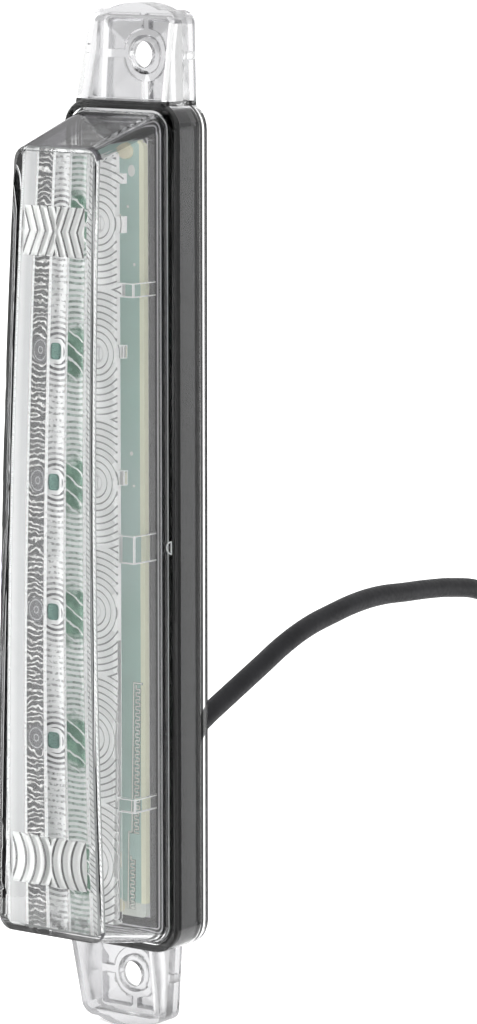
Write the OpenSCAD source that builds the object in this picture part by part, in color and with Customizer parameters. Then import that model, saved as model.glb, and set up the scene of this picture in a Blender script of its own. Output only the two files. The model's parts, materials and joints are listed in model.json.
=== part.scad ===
// Slim upright LED clearance lamp with a clear cover and a two-core cable, in millimetres.
// X runs across the lamp, Z along it and up, and the lens faces -Y.
// The origin lies on the mounting plane, midway between the two screw holes.

/* [Screw holes] */
// Distance between the two screw holes
hole_pitch = 215; // [205:0.5:225]
// Radius of a screw hole
hole_r = 3.15; // [2.6:0.05:3.4]
// Distance from the upper screw hole to the cover
top_hole_gap = 10.2; // [9.6:0.1:12]
// Distance from the lower screw hole to the cover
bottom_hole_gap = 8.5; // [8:0.1:12]
// Distance from a screw hole to the end of its tab
hole_end_gap = 10.3; // [8.6:0.1:12]

/* [Cover] */
// Width of the cover at the height of the origin
cover_w = 34.8; // [33:0.1:40]
// How much each side leans out per millimetre going down
side_lean = 0.018; // [0:0.001:0.03]
// Corner radius of the cover, seen from the front
cover_r = 6.5; // [5.5:0.1:8]
// Depth of the skirt from the mounting plane to the shoulder
skirt_depth = 12.7; // [12:0.1:15]
// Wall of the skirt
skirt_wall = 1.8; // [1.4:0.1:2.2]
// Thickness of the shoulder
shoulder_t = 2; // [1.6:0.1:2.6]
// Radius of the shoulder's outer edge
shoulder_r = 0.9; // [0.4:0.1:1.2]
// Width of the flat shoulder round the dome
rim_w = 2.5; // [2:0.1:3]
// Radius of the moulding gate's mark on the shoulder
gate_r = 1.6; // [1:0.1:2]
// Height of that mark along the lamp, below the origin
gate_z = 4; // [0:0.5:20]

/* [Dome] */
// Wall of the dome's sides and ends
dome_wall = 1.5; // [1.4:0.1:2.2]
// Wall of the dome's front
front_wall = 2.2; // [1.8:0.1:3]
// Height of the dome's crown above the shoulder
crown_h = 25.6; // [24:0.1:27]
// Place of the crown along the lamp, above the origin
crown_z = 5; // [-10:1:15]
// Radius of the long bow of the front
crown_r = 1700; // [1200:50:4000]
// How much the sides lean in per millimetre of depth
side_draft = 0.079; // [0.04:0.001:0.1]
// How much the top face leans in per millimetre of depth
top_slope = 0.305; // [0.1:0.005:0.4]
// How much the bottom face leans in per millimetre of depth
bottom_slope = 0.164; // [0.1:0.002:0.25]
// Corner radius of the dome at its front
dome_front_r = 3.4; // [2.6:0.1:4]

/* [Tabs] */
// Width of the top tab at its root
top_tab_w = 25.6; // [24:0.1:26.6]
// Width of the bottom tab at its root
bottom_tab_w = 24; // [23:0.1:26]
// How much narrower a tab is at its end
tab_narrowing = 1.6; // [0:0.1:2.4]
// Depth of a tab's walls at its root
tab_root_depth = 11.7; // [10:0.1:12]
// Depth of a tab's walls at its end
tab_end_depth = 7.4; // [6.5:0.1:9]
// Gap between the mounting plane and a tab's plate
tab_plate_back = 1.75; // [1.2:0.05:2.2]
// Thickness of a tab's plate
tab_plate = 2.5; // [2:0.1:3]
// Wall of a tab's sides and end
tab_wall = 1.5; // [1.2:0.1:2]
// Corner radius of a tab
tab_r = 3; // [2.2:0.1:4]
// Height of the rounded bulge on a tab's end
bulge_h = 1.6; // [0.5:0.1:2]
// Half the width of that bulge
bulge_half_w = 7; // [5:0.1:7.4]
// Outer radius of the ring behind a screw hole
boss_r = 6.3; // [5.8:0.1:6.8]
// Inner radius of that ring
boss_inner_r = 4.6; // [4:0.1:5]
// Thickness of the ribs that carry the ring
rib_t = 1.9; // [1.2:0.1:2.4]

/* [Housing] */
// Distance from the mounting plane to the housing's back
housing_back = 1.5; // [1:0.1:2]
// Thickness of the housing's back wall
housing_wall = 2.2; // [1.6:0.1:3]
// Gap between the housing's side and the skirt
housing_gap = 0.15; // [0.1:0.05:0.3]
// Height of the board's seat in front of the housing's flange
seat_h = 1.9; // [1.6:0.1:2.4]
// Gap between the locating rib and the dome's wall
locator_gap = 0.25; // [0.15:0.05:0.4]
// Thickness of the locating rib
locator_w = 1.9; // [1:0.1:2.2]
// Width of the rail that carries the board's edge
rail_w = 2; // [1.6:0.1:2.4]
// How far the rail stands out past the board's edge
rail_lip = 0.6; // [0.3:0.1:0.8]
// Depth of the groove between the locating rib and the rail
groove_depth = 4.6; // [3:0.1:5.6]
// Radius of the cable hole in the back wall
cable_hole_r = 3.6; // [3.2:0.1:4]
// Outer radius of the collar round the cable hole
cable_boss_r = 5.4; // [5:0.1:6]
// Height of that collar from the housing's back
cable_boss_h = 5.2; // [4:0.1:6]

/* [Board] */
// Gap from the cover's top to the board's end
board_top_gap = 9.3; // [8.8:0.1:11]
// Gap from the cover's bottom to the board's end
board_bottom_gap = 8.3; // [8:0.1:10]
// Thickness of the board
board_t = 1.6; // [1:0.1:2]
// Radius of a board rivet's shank
rivet_r = 1.1; // [0.8:0.1:1.3]
// How far a rivet's head stands out round its shank
rivet_lip = 0.7; // [0.4:0.1:0.8]
// Height of a rivet's head
rivet_head = 1.1; // [0.8:0.1:1.4]
// Length of a rivet behind the board
rivet_l = 5; // [4:0.1:6]
// Wall of the post round a rivet
post_wall = 1.5; // [1:0.1:2]
// Distance of each rivet from the board's end
rivet_in = 2; // [1.9:0.1:3]
// Distance of each rivet from the board's middle
rivet_x = 3; // [0:0.5:4]

/* [LEDs] */
// Distance from the board's top to the first LED
led_top_gap = 18.2; // [16:0.1:20]
// Distance from the board's bottom to the last LED
led_bottom_gap = 12.5; // [11:0.1:15]
// Width of an LED
led_w = 2.8; // [2.4:0.1:3.4]
// Length of an LED
led_l = 3.5; // [2.8:0.1:3.6]
// Height of an LED
led_h = 1.9; // [1:0.1:2.2]
// Radius of the window in an LED
led_window_r = 1.05; // [0.8:0.05:1.1]

/* [Optic] */
// Height of the optic strip's front above the shoulder
optic_front = 8.3; // [7.6:0.1:9]
// Thickness of the optic strip
optic_t = 1.5; // [1:0.1:1.8]
// Width of the strip at the height of the origin
strip_w = 12.6; // [11.6:0.1:13.4]
// Gap from the cover's top to the strip's end
strip_top_gap = 11.8; // [10:0.1:12.4]
// Gap from the cover's bottom to the strip's end
strip_bottom_gap = 7.5; // [7.4:0.1:9]
// Radius of the clear middle of each ring lens
ring_first_r = 2.2; // [1.8:0.1:2.6]
// Distance between rings
ring_pitch = 1.5; // [1.3:0.1:1.8]
// Height of the ring teeth
ring_h = 0.6; // [0.3:0.05:0.8]
// Length of the two narrow arms along the lamp
arm_w = 3.2; // [2.4:0.1:4]
// Length of the middle arm along the lamp
wide_arm_w = 6.4; // [4:0.1:7]
// Thickness of a leg
leg_t = 1; // [0.8:0.05:1.2]
// Gap on each side of a leg in its groove
leg_gap = 0.25; // [0.1:0.05:0.35]
// How far the lugs stand out from the strip's side
lug_w = 2; // [1:0.1:2.4]

/* [Cable] */
// Diameter of the cable
cable_d = 5; // [4:0.1:5.4]
// Height of the cable below the origin
cable_z = 54; // [50:0.5:58]
// Reach of the bush behind the mounting plane
bush_l = 10; // [8:0.5:12]
// Radius of the bush at the housing
bush_r = 4.8; // [4.4:0.1:5]
// Gap between the bush and its hole
bush_gap = 0.05; // [0.02:0.01:0.1]
// Diameter of an insulated core
core_d = 1.8; // [1.4:0.1:1.8]
// Length of the bared cores
core_l = 14; // [10:0.5:18]
// Length of a ferrule's pin
ferrule_l = 8; // [6:0.5:9]
// Thickness of the tie round the coil
tie_t = 0.6; // [0.4:0.1:0.8]
// Width of the tie
tie_w = 3; // [2:0.1:4]

/* [Hidden] */

cut = 1;
thin = 0.01;
rivet_gap = 0.03;
window_depth = 0.3;
window_flare = 0.2;
tooth_lean = 0.1;
root_in = 3;
arc_steps = 8;
led_count = 6;
lean = atan(side_lean);

// Depths, measured forward from the mounting plane
under_shoulder = skirt_depth - shoulder_t;
seat_depth = under_shoulder + seat_h;
board_front = seat_depth + board_t;
optic_depth = skirt_depth + optic_front;
optic_back = optic_depth - optic_t;
groove_floor = seat_depth - groove_depth;
plate_front = tab_plate_back + tab_plate;
cavity_floor = housing_back + housing_wall;
boss_front = housing_back + cable_boss_h;

// Insets, measured from the cover's side
housing_side = skirt_wall + housing_gap;
locator_out = rim_w + dome_wall + locator_gap;
locator_in = locator_out + locator_w;
leg_out = locator_in + leg_gap;
rail_out = leg_out + leg_t + leg_gap;
board_inset = rail_out + rail_lip;
cavity_inset = rail_out + rail_w;
strip_inset = (cover_w - strip_w) / 2;

// Heights along the lamp
hole_z = hole_pitch / 2;
cover_top = hole_z - top_hole_gap;
cover_bottom = hole_z - bottom_hole_gap;
tab_reach = hole_z + hole_end_gap;
board_top = cover_top - board_top_gap;
board_bottom = board_bottom_gap - cover_bottom;
strip_top = cover_top - strip_top_gap;
strip_bottom = strip_bottom_gap - cover_bottom;
rivet_places = [board_top - rivet_in, board_bottom + rivet_in];
led_pitch = (board_top - led_top_gap - board_bottom - led_bottom_gap) / (led_count - 1);

// Height of the nth LED
function led_z(n) = board_top - led_top_gap - n * led_pitch;

// Each lug of the optic strip: height and length along the lamp
lugs = [[strip_top - 5.3, 2.3], [led_z(0), 3.8], [led_z(1) + 0.8, 3], [led_z(2) + 1.6, 3.4]];

// Parts on the board's back: width, length and height
resistor_size = [6.3, 3.2, 0.6];
diode_size = [4.6, 3.6, 2.3];
diode_gap = 20;

// The cable lies on the level of the lower tab's end, behind the lamp.
floor_z = -(tab_reach + bulge_h);
collar_wall = 0.4;
collar_l = 4;
core_spacing = core_d + 2 * collar_wall + 0.1;
hank_y = 200;
hank_l = 100;
hank_r = 18;
hank_fold_r = 15.3;
hank_inner_r = hank_r - cable_d / 2 - 0.1;
hank_outer_r = hank_r + cable_d / 2;
lower_turn = floor_z + tie_t + cable_d / 2;
upper_turn = lower_turn + cable_d;
tail_x = 2 * hank_fold_r - hank_r;
tail_end = hank_y + hank_l - 27.5;
cord_points = [
  [0, bush_l, -cable_z], [0, 18, -53], [0, 28, -49], [0, 38, -45], [0, 48, -41], [0, 58, -37],
  [0, 68, -34], [0, 79, -32], [0, 90, -30.5], [0, 101, -30], [0, 112, -30.5], [0, 123, -31],
  [0, 135, -32], [0.5, 147, -34], [2, 159, -39], [4.9, 169, -48], [8.2, 176, -60], [11.6, 181, -74],
  [14.4, 185.5, -87.4], [16.7, 191, -98.8], [17.7, 199, -107.1], [hank_r, 208, upper_turn]
];

// Half the cover's width at a height.
function half(z) = cover_w / 2 - side_lean * z;

function unit(v) = v / norm(v);

function arc(at, r, from, to) =
  [for (i = [0:arc_steps]) let (a = from + (to - from) * i / arc_steps) at + r * [cos(a), sin(a)]];

// Outline with the cover's leaning sides, moved in by an inset, between two heights.
function outline(top, bottom, inset, r) = let (
    side = (inset + r) * sqrt(1 + side_lean * side_lean),
    xt = half(top - r) - side,
    xb = half(bottom + r) - side
  ) concat(
    arc([xt, top - r], r, lean, 90),
    arc([-xt, top - r], r, 90, 180 - lean),
    arc([-xb, bottom + r], r, 180 - lean, 270),
    arc([xb, bottom + r], r, 270, 360 + lean)
  );

// The cover's own outline, set in by an equal amount all round.
function inset_outline(inset, r) = outline(cover_top - inset, inset - cover_bottom, inset, max(r, 0.4));

// Plate with an outline in the XZ plane, from one depth to another.
module slab(from, to) {
  translate([0, -from, 0]) rotate([90, 0, 0]) linear_extrude(height = to - from) children();
}

// Round bar along the depth, at a place in the XZ plane.
module bar(x, z, from, to, r) {
  translate([x, -from, z]) rotate([90, 0, 0]) cylinder(r = r, h = to - from, $fn = 48);
}

// Block with a side profile of [depth, height] points.
module side_block(points) {
  rotate([90, 0, 90]) linear_extrude(height = 2 * cover_w, center = true)
    polygon([for (p = points) [-p[0], p[1]]]);
}

// Distance of the bowed front from the shoulder at a height.
function bow(z) = crown_h - crown_r + sqrt(crown_r * crown_r - (z - crown_z) * (z - crown_z));

// All that lies behind the long bow of the front, moved back by a wall.
module behind_bow(wall) {
  reach = max(cover_top, cover_bottom) + 5;
  steps = 24;
  side_block(concat(
    [[0, -reach], [0, reach]],
    [for (i = [0:steps]) let (z = reach - 2 * reach * i / steps) [skirt_depth + bow(z) - wall, z]]
  ));
}

// Tapering body of the dome, moved in by a wall.
module dome_body(wall, front, from) {
  reach = crown_h + 1;
  intersection() {
    hull() {
      slab(from, skirt_depth) polygon(inset_outline(rim_w + wall, cover_r - rim_w - wall));
      slab(skirt_depth + reach, skirt_depth + reach + thin) polygon(outline(
        cover_top - rim_w - wall - top_slope * reach,
        -cover_bottom + rim_w + wall + bottom_slope * reach,
        rim_w + wall + side_draft * reach,
        max(dome_front_r - wall, 0.4)));
    }
    behind_bow(front);
  }
}

// Skirt and shoulder as a solid block with a rounded front edge.
module skirt_block() {
  steps = 3;
  start = skirt_depth - shoulder_r;
  slab(0, start + thin) polygon(inset_outline(0, cover_r));
  for (i = [0:steps - 1]) {
    a = 90 * i / steps;
    b = 90 * (i + 1) / steps;
    hull() {
      slab(start + shoulder_r * sin(a), start + shoulder_r * sin(a) + thin)
        polygon(inset_outline(shoulder_r * (1 - cos(a)), cover_r - shoulder_r * (1 - cos(a))));
      slab(start + shoulder_r * sin(b) - thin, start + shoulder_r * sin(b))
        polygon(inset_outline(shoulder_r * (1 - cos(b)), cover_r - shoulder_r * (1 - cos(b))));
    }
  }
}

// A tab's outline seen from the front, with or without the bulge on its end.
function tab_outline(w, root, inset, bulge) = let (
    hw = w / 2 - inset,
    ht = (w - tab_narrowing) / 2 - inset,
    r = max(tab_r - inset, 0.4),
    tip = tab_reach - inset,
    br = (bulge_half_w * bulge_half_w + bulge_h * bulge_h) / (2 * bulge_h),
    ba = asin(bulge_half_w / br)
  ) concat(
    [[hw, root]],
    arc([ht - r, tip - r], r, 0, 90),
    bulge ? arc([0, tip + bulge_h - br], br, 90 - ba, 90 + ba) : [],
    arc([r - ht, tip - r], r, 90, 180),
    [[-hw, root]]
  );

// Tab with walls that slope down to its end, and with its root inside the skirt.
module tab_block(w, root) {
  slope = (tab_root_depth - tab_end_depth) / (tab_reach - root);
  intersection() {
    slab(0, skirt_depth - shoulder_r) polygon(tab_outline(w, root - root_in, 0, true));
    side_block([[-cut, root - root_in], [tab_root_depth + root_in * slope, root - root_in],
      [tab_end_depth - bulge_h * slope, tab_reach + bulge_h], [-cut, tab_reach + bulge_h]]);
  }
}

// What is cut out of a tab: the tray in front of its plate, and the hollow behind
// it, which leaves a ring round the screw hole and a cross of ribs.
module tab_hollows(w, root) {
  slab(plate_front, skirt_depth + cut) polygon(tab_outline(w, root, tab_wall, false));
  difference() {
    slab(-cut, tab_plate_back) polygon(tab_outline(w, root, tab_wall, false));
    bar(0, hole_z, -2 * cut, plate_front, boss_r);
    slab(-2 * cut, plate_front) {
      translate([-w, hole_z - rib_t / 2]) square([2 * w, rib_t]);
      translate([-rib_t / 2, root - cut]) square([rib_t, tab_reach - root]);
    }
  }
  bar(0, hole_z, -cut, tab_plate_back, boss_inner_r);
  bar(0, hole_z, 0, skirt_depth, hole_r);
}

module clear_cover() color([0.93, 0.95, 0.96, 0.35]) {
  difference() {
    union() {
      skirt_block();
      dome_body(0, 0, under_shoulder);
      tab_block(top_tab_w, cover_top);
      mirror([0, 0, 1]) tab_block(bottom_tab_w, cover_bottom);
      slab(under_shoulder, skirt_depth + 0.2) intersection() {
        translate([half(-gate_z) - shoulder_r, -gate_z]) circle(r = gate_r, $fn = 48);
        polygon(inset_outline(shoulder_r, cover_r - shoulder_r));
      }
    }
    slab(-cut, under_shoulder) polygon(inset_outline(skirt_wall, cover_r - skirt_wall));
    dome_body(dome_wall, front_wall, under_shoulder - cut);
    tab_hollows(top_tab_w, cover_top);
    mirror([0, 0, 1]) tab_hollows(bottom_tab_w, cover_bottom);
  }
}

module board_outline(grow) {
  polygon(outline(board_top + grow, board_bottom - grow, board_inset - grow, 1));
}

module housing() color([0.07, 0.07, 0.08]) {
  difference() {
    union() {
      slab(housing_back, under_shoulder) polygon(inset_outline(housing_side, cover_r - housing_side));
      slab(under_shoulder, seat_depth) polygon(inset_outline(locator_out, cover_r - locator_out));
    }
    // Groove between the locating rib and the rail
    difference() {
      slab(groove_floor, seat_depth + cut) polygon(inset_outline(locator_in, 1));
      slab(0, seat_depth + 2 * cut) board_outline(rail_lip);
    }
    // Room behind the board, with the posts of the rivets and the collar of the cable hole
    difference() {
      slab(cavity_floor, seat_depth + cut) board_outline(board_inset - cavity_inset);
      for (z = rivet_places) bar(rivet_x, z, 0, seat_depth, rivet_r + post_wall);
      bar(0, -cable_z, 0, boss_front, cable_boss_r);
    }
    for (z = rivet_places) bar(rivet_x, z, seat_depth - rivet_l - cut, seat_depth + cut, rivet_r);
    bar(0, -cable_z, -cut, seat_depth, cable_hole_r);
  }
}

module circuit_board() color([0.62, 0.72, 0.66]) {
  difference() {
    slab(seat_depth, board_front) board_outline(0);
    for (z = rivet_places) bar(rivet_x, z, seat_depth - cut, board_front + cut, rivet_r);
  }
}

// Sawtooth ring lens whose teeth face forward, round one LED's axis.
module ring_lens(z) {
  reach = norm([half(strip_bottom) - strip_inset, led_pitch / 2 + 3]);
  rings = ceil((reach - ring_first_r) / ring_pitch);
  last = ring_first_r + rings * ring_pitch;
  translate([0, -optic_back, z]) rotate([90, 0, 0]) rotate_extrude($fn = 96)
    polygon(concat(
      [[0, 0], [last, 0], [last, optic_t]],
      [for (i = [rings - 1:-1:0]) each [
        [ring_first_r + i * ring_pitch + tooth_lean, optic_t + ring_h],
        [ring_first_r + i * ring_pitch, optic_t]]],
      [for (i = [3:-1:0]) let (x = ring_first_r * i / 4)
        [x, optic_t + ring_h * (1 - pow(i / 4, 2))]]
    ));
}

// Arm across the strip with a leg at each end, which stands in the housing's groove.
module optic_arm(z, w) {
  slab(optic_back, optic_depth) intersection() {
    polygon(inset_outline(leg_out, 1));
    translate([-cover_w, z - w / 2]) square([2 * cover_w, w]);
  }
  slab(groove_floor, optic_depth) intersection() {
    difference() {
      polygon(inset_outline(leg_out, 1));
      polygon(inset_outline(leg_out + leg_t, 1));
    }
    translate([-cover_w, z - w / 2]) square([2 * cover_w, w]);
  }
}

module optic_strip() color([0.85, 0.9, 0.92, 0.6]) {
  for (n = [0:led_count - 1]) {
    from = n == led_count - 1 ? strip_bottom : led_z(n) - led_pitch / 2;
    to = n == 0 ? strip_top : led_z(n) + led_pitch / 2;
    intersection() {
      ring_lens(led_z(n));
      slab(optic_back - cut, optic_depth + cut) intersection() {
        polygon(outline(strip_top, strip_bottom, strip_inset, 0.4));
        translate([-cover_w, from]) square([2 * cover_w, to - from]);
      }
    }
  }
  for (n = [0, 2, 4]) optic_arm((led_z(n) + led_z(n + 1)) / 2, n == 2 ? wide_arm_w : arm_w);
  slab(optic_back, optic_depth)
    for (l = lugs) translate([0, l[0] - l[1] / 2]) square([half(l[0]) - strip_inset + lug_w, l[1]]);
}

module led(n) color([0.95, 0.94, 0.88]) {
  front = board_front + led_h;
  translate([0, 0, led_z(n - 1)]) difference() {
    translate([-led_w / 2, -front, -led_l / 2]) cube([led_w, led_h, led_l]);
    translate([0, -front + window_depth, 0]) rotate([90, 0, 0])
      cylinder(r1 = led_window_r, r2 = led_window_r + window_flare, h = window_depth + thin, $fn = 48);
  }
}

module board_rivets() color([0.9, 0.88, 0.78]) {
  for (z = rivet_places) {
    bar(rivet_x, z, seat_depth - rivet_l, board_front, rivet_r - rivet_gap);
    bar(rivet_x, z, board_front, board_front + rivet_head, rivet_r + rivet_lip);
  }
}

// Chip part on the back of the board, with its width, length and height.
module chip(z, size) {
  translate([-size[0] / 2, -seat_depth, z - size[1] / 2]) cube([size[0], size[2], size[1]]);
}

module resistor(n) color([0.12, 0.12, 0.13]) chip((led_z(2 * n - 2) + led_z(2 * n - 1)) / 2, resistor_size);

module diode() color([0.1, 0.1, 0.1]) chip(diode_gap - cable_z, diode_size);

module cable_bush() color([0.05, 0.05, 0.05]) {
  translate([0, -housing_back, -cable_z]) rotate([-90, 0, 0])
    cylinder(r1 = bush_r, r2 = cable_d / 2 + 1, h = housing_back + bush_l, $fn = 48);
  bar(0, -cable_z, housing_back, boss_front, cable_hole_r - bush_gap);
}

// Core of the cable from the bush to the board, on one side of its middle.
module lead(side) {
  bar(side * core_spacing / 2, -cable_z, boss_front, seat_depth, core_d / 2);
}

module lead_plus() color([0.35, 0.2, 0.12]) lead(1);

module lead_minus() color([0.9, 0.9, 0.9]) lead(-1);

// Tube along points, with a given direction at its start and end. The reference
// direction is never along the tube.
module tube(points, r, sides, first, last, reference) {
  n = len(points);
  ring = function (i) let (
      t = i == 0 ? first : i == n - 1 ? last : unit(points[i + 1] - points[i - 1]),
      u = unit(cross(t, reference)),
      v = cross(t, u)
    ) [for (k = [0:sides - 1]) let (a = 360 * k / sides) points[i] + r * (cos(a) * u + sin(a) * v)];
  polyhedron(
    points = [for (i = [0:n - 1]) each ring(i)],
    faces = concat(
      [[for (k = [0:sides - 1]) k]],
      [[for (k = [sides - 1:-1:0]) (n - 1) * sides + k]],
      [for (i = [0:n - 2]) for (k = [0:sides - 1]) let (j = (k + 1) % sides) each [
        [i * sides + k, (i + 1) * sides + k, (i + 1) * sides + j],
        [i * sides + k, (i + 1) * sides + j, i * sides + j]]]
    )
  );
}

module cord_run() color([0.05, 0.05, 0.05])
  tube(cord_points, cable_d / 2, 10, [0, 1, 0], [0, 1, 0], [1, 0, 0]);

// Rounded strip round the hank's two folds.
module hank_outline(r) {
  for (y = [hank_y, hank_y + hank_l]) translate([0, y]) circle(r = r, $fn = 96);
  translate([-r, hank_y]) square([2 * r, hank_l]);
}

module cord_coil() color([0.05, 0.05, 0.05])
  translate([0, 0, floor_z + tie_t]) linear_extrude(height = 2 * cable_d) difference() {
    hank_outline(hank_outer_r);
    hank_outline(hank_inner_r);
  }

module cord_tail() color([0.05, 0.05, 0.05])
  tube(concat(
    [for (a = [270:22.5:337.5]) [hank_fold_r * (1 + cos(a)) - hank_r, hank_y + hank_fold_r * sin(a), lower_turn]],
    [for (i = [0:4]) [tail_x, hank_y + (tail_end - hank_y) * i / 4, lower_turn]]
  ), cable_d / 2, 10, [1, 0, 0], [0, 1, 0], [0, 0, 1]);

module cord_tie() color([0.1, 0.1, 0.1])
  translate([0, hank_y + hank_l / 2, floor_z]) rotate([90, 0, 180]) linear_extrude(height = tie_w, center = true)
    difference() {
      translate([hank_inner_r - 0.1 - tie_t, 0])
        square([hank_outer_r - hank_inner_r + 0.2 + 2 * tie_t, 2 * cable_d + 2 * tie_t]);
      translate([hank_inner_r - 0.1, tie_t])
        square([hank_outer_r - hank_inner_r + 0.2, 2 * cable_d]);
    }

// Insulated core past the end of the jacket.
module core(side) {
  translate([tail_x + side * core_spacing / 2, tail_end, lower_turn]) rotate([-90, 0, 0])
    cylinder(r = core_d / 2, h = core_l, $fn = 32);
}

module core_plus() color([0.35, 0.2, 0.12]) core(1);

module core_minus() color([0.9, 0.9, 0.9]) core(-1);

// Collar and pin on the end of a core.
module ferrule(side) {
  translate([tail_x + side * core_spacing / 2, tail_end + core_l, lower_turn]) rotate([-90, 0, 0]) {
    cylinder(r = core_d / 2 + collar_wall, h = collar_l, $fn = 32);
    cylinder(r = 0.75, h = collar_l + ferrule_l, $fn = 32);
  }
}

module ferrule_plus() color([0.75, 0.75, 0.76]) ferrule(1);

module ferrule_minus() color([0.75, 0.75, 0.76]) ferrule(-1);

clear_cover();
housing();
circuit_board();
optic_strip();
led(1);  // led_1
led(2);  // led_2
led(3);  // led_3
led(4);  // led_4
led(5);  // led_5
led(6);  // led_6
board_rivets();
resistor(1);  // resistor_1
resistor(2);  // resistor_2
resistor(3);  // resistor_3
diode();
cable_bush();
lead_plus();
lead_minus();
cord_run();
cord_coil();
cord_tail();
cord_tie();
core_plus();
core_minus();
ferrule_plus();
ferrule_minus();
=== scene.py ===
"""Clearance lamp: clear ribbed cover, black tray, circuit board, ring-lens strip and cable.

Lengths in the classes are in millimetres, as in the part's source, and become
metres on the way into a mesh. X runs across the lamp, Z up along it, and the
lens faces -Y.
"""

from __future__ import annotations

import json
import logging
import math
from dataclasses import dataclass, field
from enum import IntEnum
from typing import Callable, Sequence

import bmesh
import bpy
from mathutils import Matrix, Vector

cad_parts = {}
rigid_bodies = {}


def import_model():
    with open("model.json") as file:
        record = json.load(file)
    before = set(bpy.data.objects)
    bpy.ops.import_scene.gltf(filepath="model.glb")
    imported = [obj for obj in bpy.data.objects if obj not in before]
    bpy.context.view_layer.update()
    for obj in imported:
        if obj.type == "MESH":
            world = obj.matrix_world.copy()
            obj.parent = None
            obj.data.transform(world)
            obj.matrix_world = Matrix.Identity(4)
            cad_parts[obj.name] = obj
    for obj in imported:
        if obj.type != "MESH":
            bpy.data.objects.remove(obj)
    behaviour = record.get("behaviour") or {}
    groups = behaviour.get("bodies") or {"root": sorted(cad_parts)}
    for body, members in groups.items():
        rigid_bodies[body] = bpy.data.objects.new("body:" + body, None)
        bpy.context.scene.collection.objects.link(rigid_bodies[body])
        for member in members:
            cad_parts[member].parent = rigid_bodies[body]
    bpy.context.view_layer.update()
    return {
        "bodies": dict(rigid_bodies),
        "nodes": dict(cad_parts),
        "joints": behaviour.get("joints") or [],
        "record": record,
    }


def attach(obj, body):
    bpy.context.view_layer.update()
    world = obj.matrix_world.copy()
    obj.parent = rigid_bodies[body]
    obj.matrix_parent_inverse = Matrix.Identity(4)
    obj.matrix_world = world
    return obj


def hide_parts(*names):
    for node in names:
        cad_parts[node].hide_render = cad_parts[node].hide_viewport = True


log = logging.getLogger("clearance_lamp")

Point = tuple[float, float, float]
Pair = tuple[float, float]
Colour = tuple[float, float, float]
Edges = list[bmesh.types.BMEdge]
BMesh = bmesh.types.BMesh
Material = bpy.types.Material

MM = 0.001
MERGE_MM = 0.002
FLAT_DEG = 0.02
FACING = 0.9
LEVEL = 0.99
TOUCH = 0.01
HALF_WIDTH = 17.4
SIDE_LEAN = 0.018
SKIRT_TOP = 97.3
SKIRT_BOTTOM = -99.0
SKIRT_MIDDLE = (SKIRT_TOP + SKIRT_BOTTOM) / 2
SKIRT_HALF = (SKIRT_TOP - SKIRT_BOTTOM) / 2
CORNER_R = 6.5
LED_PLACES = (69.8, 40.2, 10.6, -19.0, -48.6, -78.2)
LED_PITCH = 29.6
CLEAR_IOR = 1.49
WHITE = (1.0, 1.0, 1.0)


class Skin(IntEnum):
    """The cover's plastics, in the order of its material slots."""

    CLEAR = 0
    RIBBED = 1
    FROSTED = 2
    END = 3
    EDGE = 4
    TAB = 5


class StripSkin(IntEnum):
    """The ring strip's plastics, in the order of its material slots."""

    RINGS = 0
    ARM = 1
    ARM_EDGE = 2


class Column(IntEnum):
    """The columns of the cover's front, from left to right."""

    SIDE = -2
    DARK = -1
    WINDOW = 0
    GREEN = 1
    SLANTED = 2


def grey(level: float) -> Colour:
    """A grey colour."""
    return (level, level, level)


# ------------ mesh helpers


def finish_mesh(
    bm: BMesh, name: str, *materials: Material, sharp_deg: float = 30.0
) -> bpy.types.Object:
    """Turns a bmesh in millimetres into a smooth-shaded object of the lamp.

    Args:
        bm: The mesh, which is freed.
        name: Name of the piece.
        *materials: Its finishes, in the order of its slots.
        sharp_deg: Edges bent by more than this stay sharp.

    Returns:
        The object, linked to the scene, at the origin.
    """
    bmesh.ops.scale(bm, vec=(MM, MM, MM), verts=bm.verts)
    mesh = bpy.data.meshes.new(name)
    bm.to_mesh(mesh)
    bm.free()
    mesh.shade_smooth()
    mesh.set_sharp_from_angle(angle=math.radians(sharp_deg))
    for material in materials:
        mesh.materials.append(material)
    return add_object(name, mesh)


def add_object(name: str, data: bpy.types.ID) -> bpy.types.Object:
    """Adds an object to the scene.

    Args:
        name: Name of the object.
        data: Its mesh, curve, light or camera.

    Returns:
        The object.
    """
    made = bpy.data.objects.new(name, data)
    bpy.context.scene.collection.objects.link(made)
    return made


def node_copy(frame: dict, node: str) -> BMesh:
    """A merged copy of a node's mesh, in millimetres.

    Args:
        frame: The loaded frame.
        node: Name of the node.

    Returns:
        The copy, with its doubles merged and its flat faces joined.
    """
    bm = bmesh.new()
    bm.from_mesh(frame["nodes"][node].data)
    bmesh.ops.scale(bm, vec=(1 / MM, 1 / MM, 1 / MM), verts=bm.verts)
    bmesh.ops.remove_doubles(bm, verts=bm.verts, dist=MERGE_MM)
    bmesh.ops.dissolve_limit(
        bm, angle_limit=math.radians(FLAT_DEG), use_dissolve_boundaries=False,
        verts=bm.verts, edges=bm.edges,
    )
    return bm


def settle(piece: bpy.types.Object, slot: str, *nodes: str) -> None:
    """Makes a piece ride on the lamp and stand for its nodes.

    Args:
        piece: The piece.
        slot: The record's material slot of its finish; not used.
        *nodes: The nodes that it replaces.
    """
    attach(piece, "root")
    if nodes:
        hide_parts(*nodes)
    log.info("%s: %s", piece.name, ", ".join(nodes) or "detail")


# ------------ material helpers


def operator(operation: str, swap: bool = False) -> Callable[..., Value]:
    """Makes a method that adds a Math node to its value's tree.

    Args:
        operation: The node's operation.
        swap: Whether the value comes after the other terms.

    Returns:
        The method.
    """

    def method(self: Value, *others: object) -> Value:
        terms = (*others, self) if swap else (self, *others)
        return self.tree.math(operation, *terms)

    return method


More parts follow.
